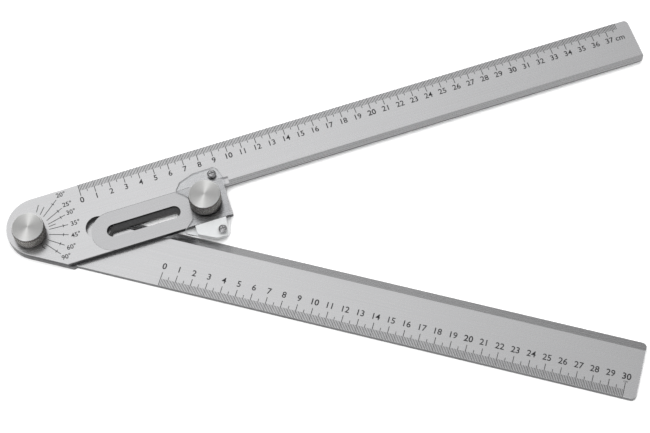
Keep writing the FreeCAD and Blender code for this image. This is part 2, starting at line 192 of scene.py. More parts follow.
def satin_aluminium(name, face, side_shade, angle, contrast=0.05):
    """Anodised bar with drawn grain on its faces and painted shade on its milled sides."""
    material, tree, shader = new_material(name, Metallic=1.0)
    grain = grouped(tree, drawn_grain, {"Angle": angle, "Contrast": contrast})
    side = grouped(tree, upright_side, {"Marks": CUTTER_MARKS})
    faced = add(tree, "VectorMath", {0: face, "Scale": grain["Shade"]}, operation="SCALE")
    # Upright sides get the painted shade colour, varied by the cutter's marks.
    shaded_side = add(tree, "VectorMath", {0: side_shade, "Scale": side["Shade"]}, operation="SCALE")
    colour = blended(tree, side["Side"], faced.outputs[0], shaded_side.outputs[0])
    tree.links.new(colour, shader.inputs["Base Color"])
    tree.links.new(spread(tree, grain["Lines"], 0.2, 0.8, *GRAIN_GLOSS),
                   shader.inputs["Roughness"])
    bump = add(tree, "Bump", {"Height": grain["Lines"], "Strength": GRAIN_BUMP,
                              "Distance": GRAIN_DEPTH})
    tree.links.new(bump.outputs[0], shader.inputs["Normal"])
    return material


def finish_node(node, material):
    """Give the CAD piece its material in every slot that it has."""
    piece = frame["nodes"][node]
    if not piece.data.materials:
        piece.data.materials.append(material)
    for place in piece.material_slots:
        place.material = material


mounts = {mount["name"]: mount for mount in frame["record"]["mounts"]}
lower_edge = mounts["lower_graduated_edge"]
LOWER_ANGLE = -math.atan2(-lower_edge["axis"][0], -lower_edge["axis"][1])
lower_turn = Matrix.Rotation(LOWER_ANGLE, 4, "Z")
lower_finish = satin_aluminium("satin_lower_rule", LOWER_FACE, LOWER_SIDE_SHADE, -LOWER_ANGLE)
finish_node("lower_rule", lower_finish)


# ---- Heel of the lower rule ----------------------------------------------------------
# The bar is a little wider round its pivot end, so that it comes flush with the head's flank.
# The heel steps in to the graduated edge where the edge comes out from under the head.
HEEL_DEPTH = 14.0 * MM
HEEL_END = 35.5 * MM
HEEL_CENTRE = (3.0 * MM, 6.75 * MM)
HEEL_OVERLAP = 3.0 * MM
HEEL_DROP = 0.01 * MM
HEEL_ARC_START = 150
HEEL_ARC_TURN = 120
HEEL_ARC_STEPS = 24


def prism(mesh, outline, low, high):
    """Closed upright body on a flat outline given anticlockwise."""
    bottom = [mesh.verts.new((x, y, low)) for x, y in outline]
    top = [mesh.verts.new((x, y, high)) for x, y in outline]
    mesh.faces.new(reversed(bottom))
    mesh.faces.new(top)
    for index, corner in enumerate(bottom):
        following = (index + 1) % len(outline)
        mesh.faces.new((corner, bottom[following], top[following], top[index]))


def piece_from(name, mesh, material, body, turn=None):
    """Turn the mesh in hand into a named piece that rides on a body."""
    bmesh.ops.recalc_face_normals(mesh, faces=mesh.faces)
    data = bpy.data.meshes.new(name)
    mesh.to_mesh(data)
    mesh.free()
    if turn is not None:
        data.transform(turn)
    data.materials.append(material)
    piece = bpy.data.objects.new(name, data)
    bpy.context.scene.collection.objects.link(piece)
    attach(piece, body)
    return piece


def make_heel():
    """Band round the pivot end: its outer arc, the straight run and back inside the bar."""
    outer = HEEL_CENTRE[1] + HEEL_DEPTH
    inner = outer - HEEL_OVERLAP
    arc = [math.radians(HEEL_ARC_START + HEEL_ARC_TURN * step / HEEL_ARC_STEPS)
           for step in range(HEEL_ARC_STEPS + 1)]
    outline = [(HEEL_CENTRE[0] + outer * math.cos(turn), HEEL_CENTRE[1] + outer * math.sin(turn))
               for turn in arc]
    outline += [(HEEL_END - HEEL_OVERLAP / 2, -HEEL_DEPTH),
                (HEEL_END, -HEEL_DEPTH + HEEL_OVERLAP / 2),
                (HEEL_END, -HEEL_DEPTH + HEEL_OVERLAP)]
    outline += [(HEEL_CENTRE[0] + inner * math.cos(turn), HEEL_CENTRE[1] + inner * math.sin(turn))
                for turn in reversed(arc)]
    low, high = [Vector(corner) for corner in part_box("lower_rule")]
    mesh = bmesh.new()
    prism(mesh, outline, low.z + HEEL_DROP, high.z - HEEL_DROP)
    return piece_from("lower_rule_heel", mesh, lower_finish, "lower_rule",
                      lower_turn)


make_heel()


# ---- Graduations of the lower rule ---------------------------------------------------
# Millimetre, half-centimetre and centimetre lines with numbers, cut in and filled with black.
# They start at the graduated edge, and each tenth number is bolder. A small unit mark ends them.
LOWER_ZERO = 90.7 * MM
LOWER_LENGTH = 30
LOWER_TICKS = (5.0 * MM, 7.1 * MM, 9.5 * MM)
LOWER_NUMBER_PLACE = 13.6 * MM
LOWER_NUMBER_HEIGHT = 4.3 * MM
LINE_WIDTHS = (0.37 * MM, 0.41 * MM, 0.46 * MM)
LOWER_UNIT_PLACE = 10.4 * MM
LOWER_UNIT_HEIGHT = 1.7 * MM
NUMBER_WEIGHT = 0.07 * MM
TENTH_WEIGHT = 0.12 * MM
INK_PROUD = 0.012 * MM
INK_DEPTH = 0.08 * MM
FIGURE_SHARE = 0.73


def cut_line(mesh, start, end, width, surface):
    """Filled line between two points of the face at height surface."""
    run = (Vector(end) - Vector(start)).normalized()
    aside = Vector((-run.y, run.x)) * width / 2
    first = Vector(start)
    last = Vector(end)
    outline = [first - aside, last - aside, last + aside, first + aside]
    prism(mesh, outline, surface - INK_DEPTH, surface + INK_PROUD)


def cut_scale(mesh, zero, steps, ticks, edge, inward, surface):
    """Millimetre lines of a scale that starts at zero and runs along X."""
    for step in range(steps + 1):
        rank = 2 if step % 10 == 0 else 1 if step % 5 == 0 else 0
        x = zero + step * MM
        cut_line(mesh, (x, edge), (x, edge + inward * ticks[rank]), LINE_WIDTHS[rank], surface)


def cut_text(mesh, text, height, bold, place):
    """Raised copy of a word, as tall as its figures, centred on place."""
    letters = bpy.data.curves.new("letters", "FONT")
    letters.body = text
    letters.align_x = "CENTER"
    letters.align_y = "CENTER"
    letters.resolution_u = 3
    letters.size = height / FIGURE_SHARE
    letters.extrude = (INK_DEPTH + INK_PROUD) / 2
    letters.offset = bold
    stand = bpy.data.objects.new("letters", letters)
    bpy.context.scene.collection.objects.link(stand)
    shape = bpy.data.meshes.new_from_object(
        stand.evaluated_get(bpy.context.evaluated_depsgraph_get()))
    shape.transform(place)
    mesh.from_mesh(shape)
    bpy.data.objects.remove(stand)
    bpy.data.meshes.remove(shape)
    bpy.data.curves.remove(letters)


def number_scale(mesh, zero, length, row, height, surface):
    middle = surface + (INK_PROUD - INK_DEPTH) / 2
    for number in range(length + 1):
        place = Matrix.Translation((zero + number * 10 * MM, row, middle))
        bold = TENTH_WEIGHT if number % 10 == 0 else NUMBER_WEIGHT
        cut_text(mesh, str(number), height, bold, place)


def black_fill():
    """Baked black enamel, a little thin and grey where it was wiped."""
    material, tree, shader = new_material("black_fill", Roughness=0.55)
    place = add(tree, "TexCoord").outputs["Object"]
    thin = add(tree, "TexNoise", {"Vector": place, "Scale": 900.0, "Detail": 3.0}).outputs[0]
    colour = blended(tree, spread(tree, thin, 0.5, 0.8, 0.0, 1.0),
                     (0.010, 0.010, 0.011, 1.0), (0.06, 0.06, 0.065, 1.0))
    tree.links.new(colour, shader.inputs["Base Color"])
    return material


enamel = black_fill()
LOWER_TOP = Vector(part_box("lower_rule")[1]).z
edge_point = lower_turn.inverted() @ Vector(lower_edge["pos_m"])
marks = bmesh.new()
cut_scale(marks, LOWER_ZERO, 10 * LOWER_LENGTH, LOWER_TICKS, edge_point.y, 1, LOWER_TOP)
piece_from("lower_scale_lines", marks, enamel, "lower_rule", lower_turn)
figures = bmesh.new()
number_scale(figures, LOWER_ZERO, LOWER_LENGTH, edge_point.y + LOWER_NUMBER_PLACE,
             LOWER_NUMBER_HEIGHT, LOWER_TOP)
cut_text(figures, "cm", LOWER_UNIT_HEIGHT, 0.0, Matrix.Translation((
    LOWER_ZERO + LOWER_LENGTH * 10 * MM, edge_point.y + LOWER_UNIT_PLACE,
    LOWER_TOP + (INK_PROUD - INK_DEPTH) / 2)))
piece_from("lower_scale_numbers", figures, enamel, "lower_rule", lower_turn)


# ---- Upper rule ----------------------------------------------------------------------
# The second bar, with the deep head that carries the slide, milled from one plate.
# Same anodising and painted side shade as the lower rule, with the drawing lines along its own length.
# The rebate under the slide, with the walls of its window and notch, is coloured black as painted
# shade, and the wall of the relief past the slide's end is brushed like the face.
UPPER_FACE = (0.665, 0.665, 0.675)
# Painted shade of the head's upright sides.
UPPER_SIDE_SHADE = (0.030, 0.030, 0.032)
# Black painted shade for the rebate under the slide and the walls of its window and notch.
REBATE_SHADE = (0.010, 0.010, 0.010, 1.0)
PAINT_MARGIN = 0.4 * MM
PAINT_DEPTH_MARGIN = 0.1 * MM
PAINT_PAST_START = 5.0 * MM
PAINT_SHORT_OF_END = 2.0 * MM
RELIEF_LENGTH = 5.0 * MM
RELIEF_PLAY = 1.0 * MM


def inside(tree, value, low, high):
    """1 where the value lies between the two limits, else 0."""
    above = add(tree, "Math", {0: value, 1: low}, operation="GREATER_THAN").outputs[0]
    below = add(tree, "Math", {0: value, 1: high}, operation="LESS_THAN").outputs[0]
    return sums(tree, "MULTIPLY", above, below)


def make_inside_box():
    """Mask of what lies between two corners of a box that stands square to the rule."""
    tree, given, result = shader_group(
        "inside_box", [("Low", "Vector", (0, 0, 0)), ("High", "Vector", (0, 0, 0))],
        [("Inside", "Float")])
    place = add(tree, "SeparateXYZ", {0: add(tree, "TexCoord").outputs["Object"]}).outputs
    low = add(tree, "SeparateXYZ", {0: given["Low"]}).outputs
    high = add(tree, "SeparateXYZ", {0: given["High"]}).outputs
    in_plan = sums(tree, "MULTIPLY", inside(tree, place["X"], low["X"], high["X"]),
                   inside(tree, place["Y"], low["Y"], high["Y"]))
    in_depth = inside(tree, place["Z"], low["Z"], high["Z"])
    tree.links.new(sums(tree, "MULTIPLY", in_plan, in_depth), result["Inside"])
    return tree


def head_finish():
    """The bar's finish, with painted shade under the slide and the relief at its end added."""
    material = satin_aluminium("satin_upper_rule", UPPER_FACE, UPPER_SIDE_SHADE, 0.0)
    tree = material.node_tree
    shader = tree.nodes["Principled BSDF"]
    bare_metal = shader.inputs["Base Color"].links[0].from_socket
    slide_low, slide_high = [Vector(corner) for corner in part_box("slide_bar")]
    head_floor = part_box("upper_rule")[0][2]
    inside_box = make_inside_box()
    rebate_shade_mask = grouped(tree, inside_box, {
        "Low": (slide_low.x - PAINT_PAST_START, slide_low.y + PAINT_MARGIN,
                head_floor + PAINT_DEPTH_MARGIN),
        "High": (slide_high.x - PAINT_SHORT_OF_END, slide_high.y + RELIEF_PLAY,
                 slide_low.z + PAINT_DEPTH_MARGIN)})
    relief = grouped(tree, inside_box, {
        "Low": (slide_high.x - PAINT_MARGIN, slide_low.y, slide_low.z - PAINT_MARGIN),
        "High": (slide_high.x + RELIEF_LENGTH, slide_high.y + RELIEF_PLAY,
                 slide_high.z + PAINT_MARGIN)})
    brushed = blended(tree, relief["Inside"], bare_metal, (*UPPER_FACE, 1.0))
    # The rebate takes the black painted shade and is not metal there.
    with_rebate_shade = blended(tree, rebate_shade_mask["Inside"], brushed, REBATE_SHADE)
    tree.links.new(with_rebate_shade, shader.inputs["Base Color"])
    tree.links.new(sums(tree, "SUBTRACT", 1.0, rebate_shade_mask["Inside"]), shader.inputs["Metallic"])
    return material


finish_node("upper_rule", head_finish())


# ---- Graduations of the upper rule ---------------------------------------------------
# The same black filled lines along the outer edge, from 0 by the head to 37 near the tip.
# A small unit mark follows the last number.
UPPER_ZERO = 38.2 * MM
UPPER_LENGTH = 37
UPPER_EXTRA = 8
UPPER_TICKS = (4.8 * MM, 6.5 * MM, 8.8 * MM)
UPPER_NUMBER_PLACE = 11.9 * MM
UPPER_NUMBER_HEIGHT = 4.1 * MM
UNIT_GAP = 7.6 * MM

upper_high = Vector(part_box("upper_rule")[1])
UPPER_TOP = upper_high.z
marks = bmesh.new()
cut_scale(marks, UPPER_ZERO, 10 * UPPER_LENGTH + UPPER_EXTRA, UPPER_TICKS, upper_high.y, -1,
          UPPER_TOP)
piece_from("upper_scale_lines", marks, enamel, "upper_rule")
figures = bmesh.new()
number_row = upper_high.y - UPPER_NUMBER_PLACE
number_scale(figures, UPPER_ZERO, UPPER_LENGTH, number_row, UPPER_NUMBER_HEIGHT, UPPER_TOP)
unit_x = UPPER_ZERO + UPPER_LENGTH * 10 * MM + UNIT_GAP
cut_text(figures, "cm", UPPER_NUMBER_HEIGHT, NUMBER_WEIGHT,
         Matrix.Translation((unit_x, number_row, UPPER_TOP + (INK_PROUD - INK_DEPTH) / 2)))
piece_from("upper_scale_numbers", figures, enamel, "upper_rule")


# ---- Angle fan -----------------------------------------------------------------------
# Setting lines cut into the head round the pivot knob; the long ones each have a cross stroke and a
# label.
# They are finer than the scale and filled with the same black enamel.
FAN_LONG = ((40.5, 14.6, 28.8, 33.0, "20"), (26.0, 13.8, 26.8, 30.5, "25"),
            (14.0, 13.0, 25.6, 29.2, "30"), (-3.0, 12.5, 25.0, 29.2, "35"),
            (-20.0, 12.0, 25.0, 29.2, "45"), (-38.0, 12.3, 24.4, 28.6, "60"),
            (-53.0, 12.0, 25.3, 29.3, "90"))
FAN_SHORT = ((62.0, 16.0, 21.5), (51.0, 15.0, 21.0), (6.0, 12.8, 17.5), (-64.0, 11.6, 15.0))
FAN_WIDTH = 0.46 * MM
FAN_NUMBER_HEIGHT = 3.3 * MM
CROSS_PLACE = 0.74
CROSS_REACH = 1.1 * MM
LABEL_SHIFT = 0.6 * MM


def fan_point(degrees, radius, aside=0.0):
    turn = math.radians(degrees)
    return (radius * math.cos(turn) - aside * math.sin(turn),
            radius * math.sin(turn) + aside * math.cos(turn))


marks = bmesh.new()
for degrees, start, end, label_place, label in FAN_LONG:
    cut_line(marks, fan_point(degrees, start * MM), fan_point(degrees, end * MM),
             FAN_WIDTH, UPPER_TOP)
    cross = (start + CROSS_PLACE * (end - start)) * MM
    cut_line(marks, fan_point(degrees, cross, -CROSS_REACH), fan_point(degrees, cross, CROSS_REACH),
             FAN_WIDTH, UPPER_TOP)
    x, y = fan_point(degrees, label_place * MM)
    cut_text(marks, label + "°", FAN_NUMBER_HEIGHT, NUMBER_WEIGHT,
             Matrix.Translation((x + LABEL_SHIFT, y, UPPER_TOP + (INK_PROUD - INK_DEPTH) / 2)))
for degrees, start, end in FAN_SHORT:
    cut_line(marks, fan_point(degrees, start * MM), fan_point(degrees, end * MM),
             FAN_WIDTH, UPPER_TOP)
piece_from("angle_fan", marks, enamel, "upper_rule")


# ---- Slide bar -----------------------------------------------------------------------
# The slotted bar lies flush in the head. It is cut from thinner sheet of the same alloy,
# so it comes out of the anodising bath a shade darker.
SLIDE_FACE = (0.56, 0.56, 0.57)
# Painted shade of the slide's upright sides.
SLIDE_SIDE_SHADE = (0.030, 0.030, 0.032)
SLIDE_CONTRAST = 0.06
finish_node("slide_bar", satin_aluminium("satin_slide", SLIDE_FACE, SLIDE_SIDE_SHADE, 0.0, SLIDE_CONTRAST))


# ---- Friction strip ------------------------------------------------------------------
# Black rubber liner glued into the head's floor, which shows through the slide's slot.
# Its surface is matt with a fine cloth-like speckle.
def liner_rubber():
    material, tree, shader = new_material("liner_rubber", Roughness=0.85)
    place = add(tree, "TexCoord").outputs["Object"]
    speckle = add(tree, "TexVoronoi", {"Vector": place, "Scale": 1800.0}).outputs["Distance"]
    colour = blended(tree, spread(tree, speckle, 0.1, 0.6, 0.0, 1.0),
                     (0.012, 0.012, 0.012, 1.0), (0.035, 0.035, 0.036, 1.0))
    tree.links.new(colour, shader.inputs["Base Color"])
    bump = add(tree, "Bump", {"Height": speckle, "Strength": 0.4, "Distance": 0.1 * MM})
    tree.links.new(bump.outputs[0], shader.inputs["Normal"])
    return material


finish_node("friction_strip", liner_rubber())


# ---- Pivot and slide studs, washers, spacer and disc spring --------------------------
# Turned and stamped steel pieces, zinc plated, so their faces keep fine rings or a soft mottle.
# The studs are held by their heads, and the rest is stacked on them under the knobs.
STEEL_NODES = ("pivot_stud", "slide_stud", "pivot_washer", "slide_washer", "pivot_spacer",
               "pivot_disc_spring")


def plated_metal(name, bright, dull, roughness):
    """Plated metal with a cloudy mottle in colour and gloss."""
    material, tree, shader = new_material(name, Metallic=1.0)
    place = add(tree, "TexCoord").outputs["Object"]
    cloud = add(tree, "TexNoise", {"Vector": place, "Scale": 700.0, "Detail": 4.0}).outputs[0]
    colour = blended(tree, spread(tree, cloud, 0.3, 0.7, 0.0, 1.0), (*bright, 1.0), (*dull, 1.0))
    tree.links.new(colour, shader.inputs["Base Color"])
    tree.links.new(spread(tree, cloud, 0.3, 0.7, roughness, roughness + 0.15),
                   shader.inputs["Roughness"])
    return material


zinc_plate = plated_metal("zinc_plate", (0.60, 0.60, 0.62), (0.42, 0.42, 0.44), 0.28)
for node in STEEL_NODES:
    finish_node(node, zinc_plate)


# ---- Brass bush and insert -----------------------------------------------------------
# The pivot turns in a flanged brass bush, and a knurled brass insert takes the lower screw.
# Both are turned from bar and left bare, so they have browned a little.
brass = plated_metal("turned_brass", (0.72, 0.53, 0.25), (0.50, 0.35, 0.15), 0.30)
finish_node("pivot_bush", brass)
finish_node("foot_insert", brass)


# ---- Clamp knobs ---------------------------------------------------------------------
# Two aluminium knobs, diamond knurled round the side, hollow underneath; the knurling is coloured dark
# as painted shade.
# Its crests are lighter, partly finger wear and partly painted glints, and the rim was turned bright
# with the cap.
KNURL_COUNT = 50
KNURL_ROWS = 9
KNURL_DEPTH = 0.42 * MM
KNURL_FLAT = 0.17 * MM
KNURL_BEVEL = 2.2 * KNURL_FLAT
KNOB_RIM_HEIGHT = 0.8 * MM
KNOB_ARRIS = 0.15 * MM
KNOB_BORES = {"pivot_knob": 3.1 * MM, "slide_knob": 2.6 * MM}
KNOB_THREAD = 7.0 * MM
CAP_PLAY = 0.02 * MM
WASHER_PLAY = 0.25 * MM
KNOB_SEGMENTS = 2 * KNURL_COUNT


def lathe(mesh, profile, centre, segments=96):
    """Closed body of revolution from a closed loop of (radius, z) points."""
    rings = []
    for radius, z in profile:
        if radius < 1e-9:
            rings.append([mesh.verts.new((centre[0], centre[1], z))])
            continue
        ring = []
        for step in range(segments):
            turn = 2 * math.pi * step / segments
            ring.append(mesh.verts.new((centre[0] + radius * math.cos(turn),
                                        centre[1] + radius * math.sin(turn), z)))
        rings.append(ring)
    made = []
    for index, ring in enumerate(rings):
        other = rings[(index + 1) % len(rings)]
        if len(ring) == 1 and len(other) == 1:
            continue
        for step in range(segments):
            following = (step + 1) % segments
            if len(ring) == 1:
                corners = (ring[0], other[step], other[following])
            elif len(other) == 1:
                corners = (ring[step], other[0], ring[following])
            else:
                corners = (ring[step], other[step], other[following], ring[following])
            made.append(mesh.faces.new(corners))
    return made


def knurled_sleeve(mesh, centre, crest, low, high):
    """Sleeve of diamond points: a grid whose odd corners stand out and are cut flat."""
    root = crest - KNURL_DEPTH
    backing = root - KNURL_DEPTH
    rows = []
    crests = []
    for row in range(KNURL_ROWS + 1):
        ring = []
        for step in range(2 * KNURL_COUNT):
            raised = (row + step) % 2 == 1 and 0 < row < KNURL_ROWS
            radius = crest + KNURL_FLAT if raised else root
            turn = math.pi * step / KNURL_COUNT
            corner = mesh.verts.new((centre[0] + radius * math.cos(turn),
                                     centre[1] + radius * math.sin(turn),
                                     low + (high - low) * row / KNURL_ROWS))
            ring.append(corner)
            if raised:
                crests.append(corner)
        rows.append(ring)
    for row in range(KNURL_ROWS):
        for step in range(2 * KNURL_COUNT):
            following = (step + 1) % (2 * KNURL_COUNT)
            a, b = rows[row][step], rows[row][following]
            c, d = rows[row + 1][following], rows[row + 1][step]
            if (row + step) % 2 == 0:
                mesh.faces.new((a, b, c))
                mesh.faces.new((a, c, d))
            else:
                mesh.faces.new((a, b, d))
                mesh.faces.new((b, c, d))
    inner = []
    for height in (low, high):
        ring = []
        for step in range(2 * KNURL_COUNT):
            turn = math.pi * step / KNURL_COUNT
            ring.append(mesh.verts.new((centre[0] + backing * math.cos(turn),
                                        centre[1] + backing * math.sin(turn), height)))
        inner.append(ring)
    loops = (rows[0], inner[0], inner[1], rows[KNURL_ROWS])
    for first, second in zip(loops, loops[1:]):
        for step in range(2 * KNURL_COUNT):
            following = (step + 1) % (2 * KNURL_COUNT)
            mesh.faces.new((first[step], second[step], second[following], first[following]))
    return crests


def knob_side(name, colour_low, colour_high, roughness):
    """Knurling whose colour and gloss vary in small specks between two given tones."""
    material, tree, shader = new_material(name, Metallic=1.0)
    place = add(tree, "TexCoord").outputs["Object"]
    speck = add(tree, "TexNoise", {"Vector": place, "Scale": 1500.0, "Detail": 3.0}).outputs[0]
    colour = blended(tree, spread(tree, speck, 0.35, 0.7, 0.0, 1.0), colour_low, colour_high)
    tree.links.new(colour, shader.inputs["Base Color"])
    tree.links.new(spread(tree, speck, 0.3, 0.7, roughness, roughness + 0.2),
                   shader.inputs["Roughness"])
    return material


# Painted shade: the knurling's dark colour; the crests' light colour is wear with painted glints.
knurl_shade = knob_side("knurl_shade", (0.05, 0.047, 0.044, 1.0), (0.20, 0.19, 0.18, 1.0), 0.3)
crest_wear_glint = knob_side("knurl_crest", (0.45, 0.44, 0.42, 1.0), (0.90, 0.89, 0.87, 1.0), 0.2)
rim_bright = knob_side("knob_rim", (0.58, 0.58, 0.58, 1.0), (0.76, 0.76, 0.76, 1.0), 0.2)


def make_knob(node, body):
    """Knob around the CAD one's axis, with the same height, bore and cap seat."""
    low, high = [Vector(corner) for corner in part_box(node)]
    cap_low, cap_high = [Vector(corner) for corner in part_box(node + "_cap")]
    centre = (low + high) / 2
    crest = (high.x - low.x) / 2
    root = crest - KNURL_DEPTH
    cap_radius = (cap_high.x - cap_low.x) / 2 + CAP_PLAY
    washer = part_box(node.replace("knob", "washer"))
    hollow = (washer[1][0] - washer[0][0]) / 2 + WASHER_PLAY
    hollow_top = washer[1][2]
    bore = KNOB_BORES[node]
    bore_top = hollow_top + KNOB_THREAD
    seat = cap_low.z
    profile = [(hollow, low.z), (root - KNOB_ARRIS, low.z), (root, low.z + KNOB_ARRIS),
               (root, high.z - KNOB_ARRIS), (root - KNOB_ARRIS, high.z), (cap_radius, high.z),
               (cap_radius, seat), (0.0, seat), (0.0, bore_top), (bore, bore_top - MM),
               (bore, hollow_top), (hollow, hollow_top)]
    mesh = bmesh.new()
    for face in lathe(mesh, profile, centre, KNOB_SEGMENTS):
        if face.calc_center_median().z > high.z - KNOB_ARRIS:
            face.material_index = 2
    crests = knurled_sleeve(mesh, centre, crest, low.z + KNOB_RIM_HEIGHT, high.z - KNOB_RIM_HEIGHT)
    cut = bmesh.ops.bevel(mesh, geom=crests, offset=KNURL_BEVEL, segments=1,
                          affect="VERTICES", profile=0.5)
    # The cut crests take the light colour: wear with painted glints.
    for face in cut["faces"]:
        face.material_index = 1
    piece = piece_from(node + "_knurled", mesh, knurl_shade, body)
    piece.data.materials.append(crest_wear_glint)
    piece.data.materials.append(rim_bright)
    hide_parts(node)
    return piece


make_knob("pivot_knob", "pivot_knob")
make_knob("slide_knob", "slide_knob")


# ---- Knob caps -----------------------------------------------------------------------
# Bright aluminium discs pressed into the knobs. The lathe tool left fine rings from the rim
# to the centre, which spread the light into two opposite fans, and the rim is chamfered.
RING_PITCH = 0.38 * MM
RING_DEPTH = 0.012 * MM
CAP_CHAMFER = 0.25 * MM
CENTRE_DIMPLE = 0.45 * MM
RING_SHADES = 90.0
CAP_SEGMENTS = 128


def turned_face():
    material, tree, shader = new_material("turned_cap", Metallic=1.0, Anisotropic=0.95,
                                          Anisotropic_Rotation=0.25, Roughness=0.5)
    place = add(tree, "TexCoord").outputs["Generated"]
    flat = add(tree, "VectorMath", {0: place, 1: (0.5, 0.5, 0.0)}, operation="SUBTRACT").outputs[0]
    plan = add(tree, "VectorMath", {0: flat, 1: (1.0, 1.0, 0.0)}, operation="MULTIPLY").outputs[0]
    radius = add(tree, "VectorMath", {0: plan}, operation="LENGTH").outputs["Value"]
    rings = add(tree, "TexNoise", {"W": sums(tree, "MULTIPLY", radius, RING_SHADES), "Scale": 1.0,
                                   "Detail": 3.0}, noise_dimensions="1D").outputs[0]
    colour = blended(tree, spread(tree, rings, 0.3, 0.7, 0.0, 1.0),
                     (0.82, 0.82, 0.81, 1.0), (0.97, 0.97, 0.96, 1.0))
    tree.links.new(colour, shader.inputs["Base Color"])
    tangent = add(tree, "Tangent", direction_type="RADIAL", axis="Z")
    tree.links.new(tangent.outputs[0], shader.inputs["Tangent"])
    return material


turned_cap = turned_face()


def make_cap(node, body):
    low, high = [Vector(corner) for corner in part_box(node)]
    centre = (low + high) / 2
    radius = (high.x - low.x) / 2
    profile = [(0.0, low.z), (radius, low.z), (radius, high.z - CAP_CHAMFER),
               (radius - CAP_CHAMFER, high.z)]
    rings = int((radius - CAP_CHAMFER - CENTRE_DIMPLE) / RING_PITCH) - 1
    for ring in range(rings):
        outer = radius - 2 * CAP_CHAMFER - ring * RING_PITCH
        profile.append((outer, high.z))
        profile.append((outer - RING_PITCH / 2, high.z - RING_DEPTH))
    profile.append((CENTRE_DIMPLE, high.z))
    profile.append((0.0, high.z - CENTRE_DIMPLE / 2))
    mesh = bmesh.new()
    lathe(mesh, profile, centre, CAP_SEGMENTS)
    piece = piece_from(node + "_turned", mesh, turned_cap, body)
    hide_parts(node)
    return piece


make_cap("pivot_knob_cap", "pivot_knob")
make_cap("slide_knob_cap", "slide_knob")


# ---- Keeper plate --------------------------------------------------------------------
# Clear acrylic plate that holds the slide down, cut from sheet with its edges flame polished.
# Light goes through it with a faint grey cast, and its faces carry a few wiping marks.
PLATE_AIR = 0.04 * MM


def clear_acrylic():
    material, tree, shader = new_material("clear_acrylic", Transmission_Weight=1.0, IOR=1.25)
    place = add(tree, "TexCoord").outputs["Object"]
    wiping = add(tree, "TexNoise", {"Vector": place, "Scale": 160.0, "Detail": 4.0}).outputs[0]
    colour = blended(tree, wiping, (0.93, 0.94, 0.95, 1.0), (0.99, 0.99, 0.99, 1.0))
    tree.links.new(colour, shader.inputs["Base Color"])
    tree.links.new(spread(tree, wiping, 0.45, 0.75, 0.02, 0.12), shader.inputs["Roughness"])
    see_through = add(tree, "BsdfTransparent", {"Color": (0.94, 0.95, 0.95, 1.0)})
    path = add(tree, "LightPath")
    both = add(tree, "MixShader", {0: path.outputs["Is Shadow Ray"], 1: shader.outputs[0],
                                   2: see_through.outputs[0]})
    tree.links.new(both.outputs[0], tree.nodes["Material Output"].inputs["Surface"])
    return material


def make_keeper():
    """The CAD plate's own form, with a hair of air under it where it lies on the metal."""
    mesh = bmesh.new()
    mesh.from_mesh(frame["nodes"]["keeper_plate"].data)
    bmesh.ops.remove_doubles(mesh, verts=mesh.verts, dist=0.001 * MM)
    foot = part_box("keeper_plate")[0][2]
    for corner in mesh.verts:
        if corner.co.z < foot + PLATE_AIR:
            corner.co.z = foot + PLATE_AIR
    piece = piece_from("keeper_plate_clear", mesh, clear_acrylic(), "upper_rule")
    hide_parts("keeper_plate")
    return piece


make_keeper()


# ---- Keeper foot ---------------------------------------------------------------------
# White nylon block under the lower ear, moulded, with a soft sheen and faint flow marks.
# It bears on the head's edge and holds the plate square.
def moulded_nylon():
    material, tree, shader = new_material("moulded_nylon", Roughness=0.42, Subsurface_Weight=0.15)
    shader.inputs["Subsurface Radius"].default_value = (0.8 * MM, 0.8 * MM, 0.8 * MM)
    place = add(tree, "TexCoord").outputs["Object"]
    flow = add(tree, "TexNoise", {"Vector": place, "Scale": 260.0, "Detail": 2.0}).outputs[0]
    colour = blended(tree, flow, (0.58, 0.58, 0.58, 1.0), (0.66, 0.66, 0.66, 1.0))
    tree.links.new(colour, shader.inputs["Base Color"])
    return material


finish_node("keeper_foot", moulded_nylon())


# ---- Keeper screws -------------------------------------------------------------------
# Two nickel-plated pan-head screws with a cross recess and a rolled thread.
# They hold the keeper's ears, one to the head and one to the insert in the foot.
SCREW_PITCH = 0.5 * MM
THREAD_DEPTH = 0.22 * MM
THREAD_SINK = 0.05 * MM
THREAD_RISE = 0.4
THREAD_STEPS = 24
RECESS_ARM = 0.34 * MM
RECESS_REACH = 1.65 * MM
RECESS_DEPTH = 1.25 * MM
RECESS_FOOT = 0.42
RECESS_MOUTH = 1.1
RECESS_CLEAR = 0.3 * MM
SCREW_RADIUS = 1.5 * MM
SCREW_POINT = 0.3 * MM
HEAD_ARRIS = 0.1 * MM
HEAD_SHARE = 0.45
DOME_STEPS = 12
SCREW_SEGMENTS = 48

dark_nickel = plated_metal("dark_nickel", (0.62, 0.62, 0.63), (0.36, 0.36, 0.37), 0.16)


def helix_thread(mesh, centre, core, low, high):
    """Rolled thread: a three-cornered rib wound up the core."""
    steps = int((high - low - SCREW_PITCH) / SCREW_PITCH * THREAD_STEPS)
    sections = []
    for step in range(steps + 1):
        turn = 2 * math.pi * step / THREAD_STEPS
        middle = low + SCREW_PITCH * (0.5 + step / THREAD_STEPS)
        section = []
        for radius, rise in ((core - THREAD_SINK, -THREAD_RISE), (core + THREAD_DEPTH, 0.0),
                             (core - THREAD_SINK, THREAD_RISE)):
            section.append(mesh.verts.new((centre[0] + radius * math.cos(turn),
                                           centre[1] + radius * math.sin(turn),
                                           middle + rise * SCREW_PITCH)))
        sections.append(section)
    for first, second in zip(sections, sections[1:]):
        for index in range(3):
            following = (index + 1) % 3
            mesh.faces.new((first[index], first[following], second[following], second[index]))
    mesh.faces.new(reversed(sections[0]))
    mesh.faces.new(sections[-1])


